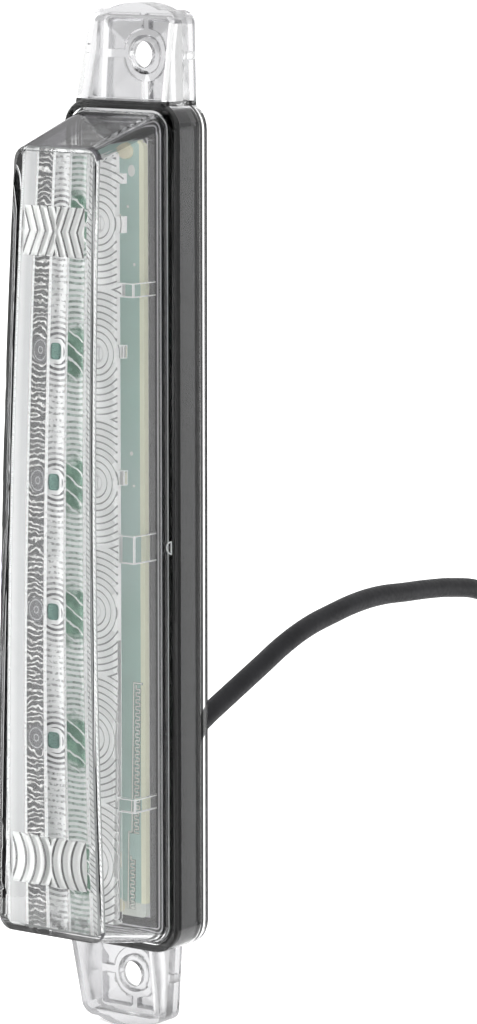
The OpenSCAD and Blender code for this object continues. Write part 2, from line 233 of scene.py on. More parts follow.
class Value:
    """An output socket, which takes part in sums like a number."""

    __add__ = __radd__ = operator("ADD")
    __sub__ = operator("SUBTRACT")
    __rsub__ = operator("SUBTRACT", swap=True)
    __mul__ = operator("MULTIPLY")
    __truediv__ = operator("DIVIDE")
    __pow__ = operator("POWER")
    __lt__ = operator("LESS_THAN")
    __gt__ = operator("GREATER_THAN")
    __and__ = operator("MINIMUM")
    __or__ = operator("MAXIMUM")
    __abs__ = operator("ABSOLUTE")
    sqrt = operator("SQRT")
    sign = operator("SIGN")
    fract = operator("FRACT")
    wrap = operator("WRAP")
    near = operator("COMPARE")

    def __init__(self, tree: Tree, socket: bpy.types.NodeSocket) -> None:
        """Takes a socket."""
        self.tree = tree
        self.socket = socket

    def wave(self) -> Value:
        """The sine of the value as whole turns."""
        return self.tree.math("SINE", self * (2 * math.pi))

    def ramp(self, low: float, high: float, first: float = 0.0, last: float = 1.0) -> Value:
        """Maps a range of the value to another, clamped."""
        ends = {"From Min": low, "From Max": high, "To Min": first, "To Max": last}
        return Value(self.tree, self.tree.add("MapRange", {"Value": self, **ends}).outputs[0])

    def mix(self, a: object, b: object) -> Value:
        """Mixes two colours, with the value as their mask."""
        node = self.tree.add("Mix", {"Factor": self, 6: a, 7: b}, data_type="RGBA")
        return Value(self.tree, node.outputs[2])


class Tree:
    """A shader node tree with a few short calls."""

    def __init__(self, tree: bpy.types.NodeTree) -> None:
        """Takes a tree and empties it."""
        self.tree = tree
        tree.nodes.clear()

    def feed(self, target: bpy.types.NodeSocket, value: object) -> None:
        """Gives an input socket what it takes.

        Args:
            target: The input socket.
            value: A number, a colour, a value or an output socket.
        """
        if isinstance(value, Value):
            value = value.socket
        if isinstance(value, bpy.types.NodeSocket):
            self.tree.links.new(value, target)
        elif isinstance(value, tuple):
            target.default_value = (*value, 1.0)
        else:
            target.default_value = value

    def add(self, kind: str, inputs: dict | None = None, **settings: object) -> bpy.types.Node:
        """Adds a node.

        Args:
            kind: The node's type, without ShaderNode.
            inputs: What its inputs take, by name or number.
            **settings: Its attributes.

        Returns:
            The node.
        """
        node = self.tree.nodes.new(f"ShaderNode{kind}")
        for key, value in settings.items():
            setattr(node, key, value)
        for key, value in (inputs or {}).items():
            self.feed(node.inputs[key], value)
        return node

    def math(self, operation: str, *terms: object) -> Value:
        """Adds a Math node."""
        node = self.add("Math", dict(enumerate(terms)), operation=operation)
        return Value(self, node.outputs[0])

    @property
    def place(self) -> bpy.types.NodeSocket:
        """The Object coordinates."""
        return self.add("TexCoord").outputs["Object"]

    def axis(self, name: str) -> Value:
        """One of the Object coordinates, X, Y or Z, in millimetres."""
        split = self.add("SeparateXYZ", {0: self.place})
        return Value(self, split.outputs[name]) * (1 / MM)

    def noise(self, scale: object, detail: float = 2.0) -> Value:
        """Noise on the Object coordinates, with its scale per metre and its octaves."""
        node = self.add("TexNoise", {"Vector": self.place, "Scale": scale, "Detail": detail})
        return Value(self, node.outputs["Fac"])

    def seen(self) -> Value:
        """1 for rays that look: straight, in a reflection or through a clear body."""
        path = self.add("LightPath").outputs
        kinds = ("Camera", "Glossy", "Transmission")
        camera, glossy, through = (Value(self, path[f"Is {kind} Ray"]) for kind in kinds)
        return camera | glossy | through


class Group(Tree):
    """A node group that several materials use."""

    def __init__(self, name: str, **inputs: float) -> None:
        """Makes a group.

        Args:
            name: Name of the group.
            **inputs: Its inputs and their plain values.
        """
        super().__init__(bpy.data.node_groups.new(name, "ShaderNodeTree"))
        sockets = self.tree.interface
        for key, value in inputs.items():
            socket = sockets.new_socket(name=key, in_out="INPUT", socket_type="NodeSocketFloat")
            socket.default_value = value
        entry = self.tree.nodes.new("NodeGroupInput")
        self.given = {key: Value(self, entry.outputs[key]) for key in inputs}

    def give(self, **results: Value) -> bpy.types.NodeTree:
        """Ends the group with its outputs.

        Args:
            **results: Their names and values.

        Returns:
            The group.
        """
        sockets = self.tree.interface
        for key in results:
            sockets.new_socket(name=key, in_out="OUTPUT", socket_type="NodeSocketFloat")
        end = self.tree.nodes.new("NodeGroupOutput")
        for key, value in results.items():
            self.feed(end.inputs[key], value)
        return self.tree


def grain() -> bpy.types.NodeTree:
    """Fine surface grain: a varying roughness and the height of a bump.

    Returns:
        The group.
    """
    g = Group("grain", Scale=1400.0, Roughness=0.45)
    fine = g.noise(g.given["Scale"])
    rough = g.given["Roughness"] + fine.ramp(0.3, 0.7, -0.06, 0.08)
    return g.give(Roughness=rough, Height=fine)


def lens_axis() -> bpy.types.NodeTree:
    """Place along the lamp from the nearest LED and distance from its axis, in millimetres.

    Returns:
        The group.
    """
    g = Group("lens_axis", Across=0.0, First=LED_PLACES[2])
    along = (g.axis("Z") - g.given["First"]).wrap(LED_PITCH / 2, -LED_PITCH / 2)
    across = g.given["Across"]
    return g.give(Along=along, Radius=(across * across + along * along).sqrt())


def outline_inset() -> bpy.types.NodeTree:
    """Distance inward from the skirt's outline, seen from the front, in millimetres.

    Returns:
        The group.
    """
    g = Group("outline_inset")
    z, r = g.axis("Z"), CORNER_R
    aside = abs(g.axis("X")) - (z * -SIDE_LEAN + (HALF_WIDTH - r))
    along = abs(z - SKIRT_MIDDLE) - (SKIRT_HALF - r)
    out_x, out_z = aside | 0.0, along | 0.0
    corner = (out_x * out_x + out_z * out_z).sqrt()
    return g.give(Inset=r - (corner + ((aside | along) & 0.0)))


class Nodes(Tree):
    """A material's node tree with its Principled shader."""

    def __init__(self, name: str, **values: object) -> None:
        """Makes a material.

        Args:
            name: Name of the material.
            **values: What the shader's sockets take, with _ for a space.
        """
        self.material = bpy.data.materials.new(name)
        self.material.use_nodes = True
        super().__init__(self.material.node_tree)
        self.shader = self.add("BsdfPrincipled")
        self.output = self.add("OutputMaterial", {"Surface": self.shader.outputs["BSDF"]})
        self.set(**values)

    def set(self, **values: object) -> None:
        """Gives the shader's sockets what they take, with _ for a space in a name."""
        for key, value in values.items():
            self.feed(self.shader.inputs[key.replace("_", " ")], value)

    def use(self, make: Callable[[], bpy.types.NodeTree], **inputs: object) -> dict[str, Value]:
        """Adds a shared group, which is made at its first use.

        Args:
            make: The function that makes it and has its name.
            **inputs: What its inputs take.

        Returns:
            Its outputs by name.
        """
        group = bpy.data.node_groups.get(make.__name__) or make()
        node = self.add("Group", inputs, node_tree=group)
        return {socket.name: Value(self, socket) for socket in node.outputs}

    def bump(self, height: Value, strength: float, depth: float) -> None:
        """Feeds a height to the shader's normal, with its depth in millimetres."""
        inputs = {"Strength": strength, "Distance": depth * MM, "Height": height}
        self.set(Normal=self.add("Bump", inputs).outputs["Normal"])


# ------------ finishes


@dataclass(frozen=True)
class ClearPlastic:
    """Polished clear moulding, as the cover and the ring-lens strip have."""

    name: str
    tint: Colour = WHITE
    ior: float = CLEAR_IOR
    roughness: float = 0.0

    def nodes(self) -> Nodes:
        """The material's nodes, to which a finish may add masks."""
        return Nodes(
            self.name, Base_Color=self.tint, Roughness=self.roughness, IOR=self.ior,
            Transmission_Weight=1.0, Metallic=0.0,
        )

    def make(self) -> Material:
        """The clear material."""
        return self.nodes().material


@dataclass(frozen=True)
class FrostedPlastic:
    """Clear plastic where its surface is rough and scatters light, so that it looks white."""

    name: str
    tint: Colour = (0.97, 0.98, 0.98)
    through: float = 0.35
    roughness: float = 0.3
    shade: float = 0.93

    def make(self) -> Material:
        """The frosted material.

        Returns:
            The material.
        """
        n = Nodes(self.name, IOR=CLEAR_IOR, Transmission_Weight=self.through, Metallic=0.0)
        fine = n.use(grain, Scale=1800.0, Roughness=self.roughness)
        shaded = tuple(self.shade * c for c in self.tint)
        n.set(Base_Color=fine["Height"].mix(self.tint, shaded), Roughness=fine["Roughness"])
        return n.material


@dataclass(frozen=True)
class GrainedPlastic:
    """Opaque moulded plastic with fine grain and slight wear in its gloss."""

    name: str
    colour: Colour
    roughness: float = 0.45
    scale: float = 1400.0
    depth: float = 0.02
    variation: float = 0.12
    gloss: float = 0.5

    def make(self) -> Material:
        """The grained material.

        Returns:
            The material.
        """
        n = Nodes(self.name, IOR=1.5, Specular_IOR_Level=self.gloss)
        fine = n.use(grain, Scale=self.scale, Roughness=self.roughness)
        lighter = tuple(min(1.0, c * (1 + self.variation) + 0.004) for c in self.colour)
        darker = tuple(c * (1 - self.variation) for c in self.colour)
        broad = n.noise(90.0, 3.0).ramp(0.35, 0.65)
        n.set(Base_Color=broad.mix(darker, lighter), Roughness=fine["Roughness"])
        n.bump(fine["Height"], 0.25, self.depth)
        return n.material


@dataclass(frozen=True)
class TinnedMetal:
    """Dull tinned metal with small drawn lines."""

    name: str
    colour: Colour = (0.72, 0.72, 0.73)

    def make(self) -> Material:
        """The metal material.

        Returns:
            The material.
        """
        n = Nodes(self.name, Base_Color=self.colour, Metallic=1.0)
        fine = n.use(grain, Scale=2600.0, Roughness=0.3)
        n.set(Roughness=fine["Roughness"])
        n.bump(fine["Height"], 0.15, 0.01)
        return n.material


# ------------ studio


@dataclass(frozen=True)
class Flag:
    """A dark panel that faces the lamp's middle and that only reflections see."""

    name: str
    at: Point
    size: Pair
    shade: float


@dataclass
class Studio:
    """Camera, floor, world, flags and lamps."""

    camera_at: Point = (627.6, -871.9, 147.6)
    camera_turns: Sequence[tuple[float, str]] = ((34.605, "Z"), (82.272, "X"), (0.821, "Z"))
    lens: float = 164.06
    clip: Pair = (0.05, 200.0)
    floor_z: float = -119.4
    floor_half: float = 40000.0
    floor_shade: float = 0.86
    floor_glow: float = 0.5
    sky: Pair = (1.12, 1.0)
    bounces: int = 24
    glossy_bounces: int = 16
    flags: Sequence[Flag] = (
        Flag("flag_front_left", (-78.0, -114.0, 5.0), (172.0, 246.0), 0.01),
        Flag("flag_front_right", (380.0, -520.0, 160.0), (520.0, 620.0), 0.01),
        Flag("flag_side", (63.0, 58.0, -2.0), (18.0, 240.0), 0.55),
    )
    lamps: Sequence[tuple[str, Point, float]] = (
        ("key", (-0.9, -1.1, 1.3), 20.0),
        ("fill", (1.4, -0.5, 0.8), 2.0),
    )
    lamp_size: float = 1.0

    def build(self) -> None:
        """Makes the camera, the floor, the world, the lamps and the flags."""
        self.make_camera()
        self.make_floor()
        self.make_world()
        for name, at, power in self.lamps:
            self.make_lamp(name, at, power)
        for flag in self.flags:
            self.make_flag(flag)

    def make_camera(self) -> None:
        """Puts the camera where the photograph was taken from, turned in degrees."""
        place = Matrix.Translation(Vector(self.camera_at) * MM)
        for degrees, axis in self.camera_turns:
            place = place @ Matrix.Rotation(math.radians(degrees), 4, axis)
        data = bpy.data.cameras.new("camera")
        data.lens = self.lens
        data.clip_start, data.clip_end = self.clip
        camera = add_object("camera", data)
        camera.matrix_world = place
        bpy.context.scene.camera = camera

    def make_floor(self) -> None:
        """A plain pale floor that takes the lamp's shadow."""
        bm = bmesh.new()
        place = Matrix.Translation((0.0, 0.0, self.floor_z))
        bmesh.ops.create_grid(
            bm, x_segments=1, y_segments=1, size=self.floor_half, matrix=place
        )
        shade = grey(self.floor_shade)
        n = Nodes("studio_floor", Base_Color=shade, Roughness=0.9, Specular_IOR_Level=0.1)
        glow = n.add("Emission", {"Color": WHITE, "Strength": n.seen() * self.floor_glow})
        both = n.add("AddShader", {0: n.shader.outputs["BSDF"], 1: glow.outputs[0]})
        n.feed(n.output.inputs["Surface"], both.outputs[0])
        finish_mesh(bm, "studio_floor", n.material)

    def make_world(self) -> None:
        """White where it is seen, and a plain soft light elsewhere."""
        scene = bpy.context.scene
        world = bpy.data.worlds.new("studio_world")
        scene.world = world
        world.use_nodes = True
        tree = Tree(world.node_tree)
        strength = tree.seen().ramp(0.0, 1.0, *self.sky)
        sky = tree.add("Background", {"Color": WHITE, "Strength": strength})
        tree.add("OutputWorld", {"Surface": sky.outputs[0]})
        scene.view_settings.view_transform = "Standard"
        scene.cycles.max_bounces = scene.cycles.transmission_bounces = self.bounces
        scene.cycles.glossy_bounces = self.glossy_bounces

    def make_flag(self, flag: Flag) -> None:
        """Makes a panel for the clear faces to reflect, which gives them depth.

        Args:
            flag: Its name, place, size and shade.
        """
        bm = bmesh.new()
        turn = (-Vector(flag.at)).to_track_quat("Z", "Y")
        place = Matrix.LocRotScale(Vector(flag.at), turn, Vector((*flag.size, 1.0)))
        bmesh.ops.create_grid(bm, x_segments=1, y_segments=1, size=0.5, matrix=place)
        shade = grey(flag.shade)
        n = Nodes(flag.name, Base_Color=shade, Roughness=1.0, Specular_IOR_Level=0.0)
        panel = finish_mesh(bm, flag.name, n.material)
        panel.visible_camera = panel.visible_diffuse = panel.visible_shadow = False
        panel.visible_transmission = False

    def make_lamp(self, name: str, at: Point, power: float) -> None:
        """Makes a soft lamp that faces the origin.

        Args:
            name: Name of the lamp.
            at: Its place, in metres.
            power: Its power, in watts.
        """
        data = bpy.data.lights.new(name, "AREA")
        data.size, data.energy = self.lamp_size, power
        lamp = add_object(name, data)
        lamp.location = at
        lamp.rotation_euler = (-Vector(at)).to_track_quat("-Z", "Y").to_euler()


# ------------ cable


@dataclass
class Cable:
    """The jacketed cable with its run and tied hank; the bared cores and ferrules are the part's
    own solids.
    """

    frame: dict
    diameter: float = 5.0
    length: float = 930.0
    exit: Point = (0.0, 10.0, -54.0)
    run: Sequence[Point] = (
        (0, 10, -54), (0, 18, -53), (0, 28, -49), (0, 38, -45), (0, 48, -41), (0, 58, -37),
        (0, 68, -34), (0, 79, -32), (0, 90, -30.5), (0, 101, -30), (0, 112, -30.5),
        (0, 123, -31), (0, 135, -32), (0.5, 147, -34), (2, 159, -39), (4.9, 169, -48),
        (8.2, 176, -60), (11.6, 181, -74), (14.4, 185.5, -87.4), (16.7, 191, -98.8),
        (17.7, 199, -107.1), (18, 208, -111.3),
    )
    near_y: float = 200.0
    far_y: float = 300.0
    turn_r: float = 18.0
    last_fold_r: float = 15.3
    upper_z: float = -111.3
    lower_z: float = -116.3
    jacket_end: float = 272.5
    fold_steps: int = 10
    side_steps: int = 6

    def fold(
        self, middle: Pair, r: float, start: float, drop: float = 0.0, z: float = 0.0
    ) -> list[Point]:
        """Half a turn of the hank.

        Args:
            middle: Centre of the fold, seen from above.
            r: Its radius.
            start: Angle at its start, in half turns.
            drop: How far it comes down in its second half.
            z: Height at its start.

        Returns:
            Its points after the first.
        """
        points = []
        for i in range(1, self.fold_steps + 1):
            w = i / self.fold_steps
            angle = math.pi * (start + w)
            x, y = middle[0] + r * math.cos(angle), middle[1] + r * math.sin(angle)
            down = max(0.0, 2 * w - 1)
            points.append((x, y, z - down * down * (3 - 2 * down) * drop))
        return points

    def side(self, x: float, start: float, end: float, z: float) -> list[Point]:
        """A straight side of the hank: its points after the first."""
        step = (end - start) / self.side_steps
        return [(x, start + step * i, z) for i in range(1, self.side_steps + 1)]

    def hank_points(self) -> list[Point]:
        """The hank: a turn on top, a turn below it and the end inside.

        Returns:
            Points from the run's end to the end of the jacket.
        """
        r, near, far = self.turn_r, self.near_y, self.far_y
        top, low = self.upper_z, self.lower_z
        inside = 2 * self.last_fold_r - r
        return [
            *self.side(r, self.run[-1][1], far, top),
            *self.fold((0.0, far), r, 0.0, z=top),
            *self.side(-r, far, near, top),
            *self.fold((0.0, near), r, 1.0, top - low, top),
            *self.side(r, near, far, low),
            *self.fold((0.0, far), r, 0.0, z=low),
            *self.side(-r, far, near, low),
            *self.fold((self.last_fold_r - r, near), self.last_fold_r, 1.0, z=low),
            *self.side(inside, near, self.jacket_end, low),
        ]

    def build(self) -> None:
        """Makes the cable's curve with its jacket, in place of the cord's nodes."""
        points = [*self.run, *self.hank_points()]
        data = bpy.data.curves.new("cable", "CURVE")
        data.dimensions = "3D"
        data.bevel_depth = self.diameter / 2 * MM
        data.bevel_resolution = 6
        data.resolution_u = 5
        data.use_fill_caps = True
        spline = data.splines.new("BEZIER")
        spline.bezier_points.add(len(points) - 1)
        for knot, point in zip(spline.bezier_points, points):
            knot.co = Vector(point) * MM
            knot.handle_left_type = knot.handle_right_type = "AUTO"
        data.materials.append(self.jacket())
        cable = add_object("cable", data)
        settle(cable, "cable_jacket", "cord_run", "cord_coil", "cord_tail")

    def jacket(self) -> Material:
        """Matt black jacket with a fine drawn surface."""
        return GrainedPlastic(
            "cable_jacket", (0.007, 0.007, 0.009), 0.5, 900.0, 0.03, variation=0.25, gloss=0.22
        ).make()


# ------------ cover


@dataclass
class LensRelief:
    """The ribs on the inner side of the cover's front, as a height over its plain face."""

    half_face: float = 11.55
    taper: float = 0.018
    middle: float = 1.36
    column: float = 5.35
    steps_a_column: int = 20
    flute_h: float = 0.45
    rib_pitch: float = 1.25
    rib_h: float = 0.05
    oval: float = 0.9
    slant: float = 0.8
    slant_pitch: float = 1.3
    slant_h: float = 0.06
    flat_share: float = 0.4
    seam_h: float = 0.22
    window_up: float = 1.6
    window_left: float = 0.7
    window_half: Pair = (1.55, 1.9)
    top_band: Pair = (63.0, 74.2)
    bottom_band: Pair = (-81.3, -69.7)
    band_span: Pair = (-10.2, 8.6)
    stroke_shift: float = 0.4
    stroke_pitch: float = 2.46
    stroke_h: float = 0.35
    stroke_base: float = 0.15
    arc_bend: float = 1.6
    chevron_bend: float = -2.2
    seams: Sequence[tuple[float, float, float]] = (
        (-1.5, 1.0, 1.0), (-0.5, 2.0, 1.0), (0.5, 1.0, 1.0), (1.5, 1.0, 2.0),
    )

    @property
    def step(self) -> float:
        """Width of one step of the mesh across a column."""
        return self.column / self.steps_a_column

    def across(self, x: float, z: float) -> float:
        """Scales a place across the front to the lamp's middle."""
        return x * self.half_face / (self.half_face - self.taper * z)

    def on_seam(self, x: float, z: float) -> bool:
        """Whether a place is on one of the ridges between the columns.

        Args:
            x: Place across the lamp.
            z: Height along the lamp.

        Returns:
            True on a ridge and outside the two bands of strokes.
        """
        if any(low < z < high for low, high in (self.top_band, self.bottom_band)):
            return False
        place = self.across(x, z) - self.middle
        return any(
            -left * self.step < place - at * self.column < right * self.step
            for at, left, right in self.seams
        )

    def strokes(self, across: float, z: float) -> float:
        """Height of the strokes in the two bands.

        Args:
            across: Place across the front.
            z: Height along the lamp.

        Returns:
            Their height in millimetres, or a negative number outside the bands.
        """
        for low, high, arcs in ((*self.top_band, False), (*self.bottom_band, True)):
            if low < z < high:
                v = (z - (low + high) / 2) / ((high - low) / 2)
                bend = self.arc_bend * (1 - v * v) if arcs else self.chevron_bend * abs(v)
                shifted = across + self.stroke_shift
                phase = (shifted + math.copysign(1.0, shifted) * bend) / self.stroke_pitch
                edge = min(1.0, (1 - abs(v)) * 12)
                wave = 0.5 + 0.5 * math.sin(2 * math.pi * phase)
                return edge * self.stroke_h * wave + self.stroke_base
        return -1.0

    def height(self, x: float, z: float) -> float:
        """How far the inner face stands proud at a place.

        Args:
            x: Place across the lamp.
            z: Height along the lamp.

        Returns:
            The extra thickness of the front, in millimetres.
        """
        across = self.across(x, z)
        stroke = self.strokes(across, z)
        if stroke >= 0:
            return stroke
        place = across - self.middle
        index = math.floor(place / self.column + 0.5)
        local = place - index * self.column
        t = 2 * local / self.column
        flute = self.flute_h * (1 - t * t)
        gap = self.column / 2 - abs(local)
        if gap < self.step * 0.9:
            return self.seam_h
        fade = min(1.0, gap / 0.5)
        along = min((z - place - self.window_up for place in LED_PLACES), key=abs)
        if index == Column.SIDE:
            return flute * self.flat_share
        if index == Column.SLANTED:
            phase = (z + self.slant * local) / self.slant_pitch
            wave = 0.5 + 0.5 * math.cos(2 * math.pi * phase)
            return flute * self.flat_share + fade * self.slant_h * wave
        if index == Column.WINDOW:
            w, h = self.window_half
            if ((local + self.window_left) / w) ** 4 + (along / h) ** 4 < 1:
                return self.flute_h * 0.85
        r = math.hypot(local * self.oval, along)
        if index == Column.GREEN and abs(along) < 6:
            r = along + 0.7 * local
        wave = 0.5 + 0.5 * math.cos(2 * math.pi * r / self.rib_pitch)
        return flute + fade * self.rib_h * wave


@dataclass
class Cover:
    """The clear moulding with its dome, shoulder, skirt and screw tabs."""

    frame: dict
    relief: LensRelief = field(default_factory=LensRelief)
    shoulder_y: float = 12.7
    crown_h: float = 25.6
    crown_z: float = 5.0
    crown_r: float = 1700.0
    wall: float = 2.2
    left_steps: int = 46
    right_steps: int = 36
    inner_front: float = 30.0
    end_margin: float = 0.45
    rows: int = 880
    rim_step: float = 0.5
    gate_at: Point = (16.57, -12.9, -4.0)
    gate_r: float = 1.7
    root_r: float = 0.35
    gate_line: float = 0.35
    left_strip: float = -9.0
    end_z: float = 70.0
    end_lean: float = 0.2
    # Painted shade on the clear plastic: the shoulder's band, the rim by the skirt's back edge
    # and their dimmed reflections.
    dark_band: Pair = (10.7, 12.74)
    dark_rim: Pair = (1.85, 2.8)
    band_gloss: float = 0.3
    # Painted shade of the dome's end walls: how much their reflections are dimmed, and their dark
    # colour.
    end_gloss: float = 0.6
    end_tint: Colour = (0.02, 0.018, 0.024)
    # Painted shade: the grey of the strip round the ribbed face, for the dark line along the
    # front's inner edge.
    edge_tint: Colour = (0.33, 0.34, 0.34)
    # Painted shade: grey in the clear tabs that stands in for the darker surroundings seen
    # through them.
    tab_tint: Colour = (0.53, 0.53, 0.54)
    # Painted shade: the front of the dome's foot is near black below this height and beyond this
    # depth.
    foot_z: float = -91.5
    foot_depth: float = 33.5

    def bow(self, z: float) -> float:
        """How far the bowed front stands before the shoulder."""
        return self.crown_h - self.crown_r + math.sqrt(self.crown_r**2 - (z - self.crown_z) ** 2)

    def open_front(self, bm: BMesh) -> Edges:
        """Takes the plain inner front face away and splits the long edges round the opening.

        Args:
            bm: The cover's mesh.

        Returns:
            The edges round the opening.
        """
        bm.normal_update()
        depth = -self.inner_front
        inner = [f for f in bm.faces if f.normal.y > FACING and f.calc_center_median().y < depth]
        bmesh.ops.delete(bm, geom=inner, context="FACES")
        for e in [e for e in bm.edges if e.is_boundary]:
            cuts = int(e.calc_length() / self.rim_step)
            if cuts:
                bmesh.ops.subdivide_edges(bm, edges=[e], cuts=cuts)
        return [e for e in bm.edges if e.is_boundary]

    def ribbed_face(self, bm: BMesh, rim: Edges) -> None:
        """Closes the opening with the ribbed inner face.

        Args:
            bm: The cover's mesh.
            rim: The edges round the opening.
        """
        zs = [v.co.z for e in rim for v in e.verts]
        low, high = min(zs) + self.end_margin, max(zs) - self.end_margin
        before = set(bm.faces)
        relief = self.relief
        columns = self.left_steps + self.right_steps
        made = bmesh.ops.create_grid(bm, x_segments=columns, y_segments=self.rows, size=1.0)
        grid = made["verts"]
        for v in grid:
            z = low + (high - low) * (v.co.y + 1) / 2
            place = (v.co.x + 1) / 2 * columns - self.left_steps
            x = (relief.middle + place * relief.step) / relief.across(1.0, z)
            inner = -(self.shoulder_y + self.bow(z) - self.wall)
            on_rim = abs(v.co.x) > 0.9999 or abs(v.co.y) > 0.9999
            v.co = (x, inner + (0.0 if on_rim else relief.height(x, z)), z)
        for f in bm.faces:
            if f not in before:
                x, _, z = f.calc_center_median()
                f.material_index = Skin.FROSTED if relief.on_seam(x, z) else Skin.RIBBED
        open_edges = [e for e in bm.edges if e.is_boundary]
        for f in bmesh.ops.bridge_loops(bm, edges=open_edges)["faces"]:
            at_left = f.calc_center_median().x < self.left_strip
            f.material_index = Skin.FROSTED if at_left else Skin.EDGE

    def outline_gate(self, bm: BMesh) -> None:
        """Marks the edge of the moulding gate's disc on the shoulder.

        Args:
            bm: The cover's mesh.
        """
        x, y, z = self.gate_at
        disc = []
        for f in bm.faces:
            centre = f.calc_center_median()
            inside = math.hypot(centre.x - x, centre.z - z) < self.gate_r
            if inside and f.normal.y < -FACING and abs(centre.y - y) < 3 * TOUCH:
                disc.append(f)
        ring = bmesh.ops.inset_region(
            bm, faces=disc, thickness=self.gate_line, use_even_offset=True
        )["faces"]
        for f in ring:
            f.material_index = Skin.FROSTED

    def round_root(self, bm: BMesh) -> None:
        """Gives the dome's root a small fillet, which shows as a bright line.

        Args:
            bm: The cover's mesh.
        """
        bm.normal_update()
        edges = [
            e for e in bm.edges
            if len(e.link_faces) == 2 and not e.is_convex
            and all(abs(v.co.y + self.shoulder_y) < TOUCH for v in e.verts)
            and any(f.normal.y < -LEVEL for f in e.link_faces)
        ]
        bmesh.ops.bevel(
            bm, geom=edges, offset=self.root_r, offset_type="OFFSET", segments=2,
            profile=0.5, affect="EDGES", clamp_overlap=True,
        )

    def build(self) -> None:
        """Makes the cover from a merged copy of its solid."""
        bm = node_copy(self.frame, "clear_cover")
        self.round_root(bm)
        self.ribbed_face(bm, self.open_front(bm))
        bmesh.ops.recalc_face_normals(bm, faces=bm.faces)
        bm.normal_update()
        for f in bm.faces:
            if f.material_index != Skin.CLEAR:
                continue
            _, y, z = f.calc_center_median()
            outward = f.normal.z * math.copysign(1.0, z)
            if abs(z) > self.end_z and y < -self.shoulder_y - 1.0 and outward > self.end_lean:
                f.material_index = Skin.END
            elif all(v.co.z > SKIRT_TOP - 0.1 or v.co.z < SKIRT_BOTTOM + 0.1 for v in f.verts):
                f.material_index = Skin.TAB
        self.outline_gate(bm)
        piece = finish_mesh(
            bm, "cover_shell", self.clear(), self.tinted(),
            FrostedPlastic("seam_plastic").make(), self.end_plastic(),
            # edge_plastic: opaque grey, painted shade along the edge of the ribbed face.
            FrostedPlastic("edge_plastic", self.edge_tint, 0.0, 0.4).make(),
            # tab_plastic is greyed clear plastic: painted shade of the surroundings seen through
            # the tabs.
            ClearPlastic("tab_plastic", self.tab_tint, roughness=0.2).make(), sharp_deg=20.0,
        )
        flat = piece.modifiers.new("flat_faces", "WEIGHTED_NORMAL")
        flat.mode = "FACE_AREA"
        flat.weight = 100
        flat.keep_sharp = True
        settle(piece, "clear_plastic", "clear_cover")

    def clear(self) -> Material:
        """The clear plastic, with painted shade: near black with dimmed reflections on the
        shoulder's band and by the skirt's back edge, where the black tray lies behind it, and
        near black at the front of the dome's foot.

        Returns:
            The material.
        """
        n = ClearPlastic("clear_plastic").nodes()
        z, depth = n.axis("Z"), n.axis("Y") * -1.0
        tab = abs(z - SKIRT_MIDDLE).ramp(SKIRT_HALF + 0.05, SKIRT_HALF + 0.2)
        low, high = self.dark_band
        band = depth.ramp(low - 0.1, low) * depth.ramp(high, high + 0.04, 1.0, 0.0)
        band = band * n.use(outline_inset)["Inset"].ramp(1.9, 1.98, 1.0, 0.0)
        near, far = self.dark_rim
        rim = depth.ramp(near - 0.1, near) * depth.ramp(far, far + 0.2, 1.0, 0.0)
        # Painted shade: the band and the rim are near black with dimmed reflections.
        dark = (band | rim) * (1.0 - tab)
        # Painted shade: near black at the front of the dome's foot.
        foot = (depth > self.foot_depth) * (z < self.foot_z)
        colour = foot.mix((0.985, 0.99, 0.99), grey(0.02))
        n.set(
            Base_Color=dark.mix(colour, grey(0.002)),
            Specular_Tint=dark.mix(WHITE, grey(self.band_gloss)),
        )
        return n.material

    def end_plastic(self) -> Material:
        """The dome's end walls, with painted shade: the upper one dark all over, most at its
        left, with dimmed reflections, and the lower one dark at its front edge.

        Returns:
            The material.
        """
        n = ClearPlastic("end_plastic").nodes()
        # Painted shade: the upper wall is darkened, less to its right, and so is the lower wall's
        # front edge.
        upper = (n.axis("Z") > 0.0) * n.axis("X").ramp(-1.0, 4.0, 1.0, 0.45)
        edge = n.axis("Y").ramp(-34.2, -34.7)
        n.set(
            Base_Color=(upper | edge).mix((0.95, 0.96, 0.96), self.end_tint),
            Specular_Tint=upper.mix(WHITE, grey(self.end_gloss)),
        )
        return n.material

    def strokes(self, full: Value, z: Value) -> tuple[Value, Value]:
        """The bands of strokes, in step with their relief.

        Args:
            full: Place across the front, scaled to the lamp's middle.
            z: Height along the lamp.

        Returns:
            Masks of the two bands and of the dark lines between their strokes.
        """
        relief = self.relief
        shifted = full + relief.stroke_shift
        sign = shifted.sign()
        left, right = relief.band_span
        masks, lines = [], []
        for (low, high), arcs in ((relief.top_band, False), (relief.bottom_band, True)):
            v = abs((z - (low + high) / 2) / ((high - low) / 2))
            bend = v * v * -relief.arc_bend + relief.arc_bend if arcs else v * relief.chevron_bend
            wave = ((shifted + sign * bend) / relief.stroke_pitch).wave()
            mask = (v < 1.0) * (full > left) * (full < right)
            masks.append(mask)
            lines.append(mask * wave.ramp(-0.86, -0.6, 1.0, 0.0))
        return masks[0] | masks[1], lines[0] | lines[1]

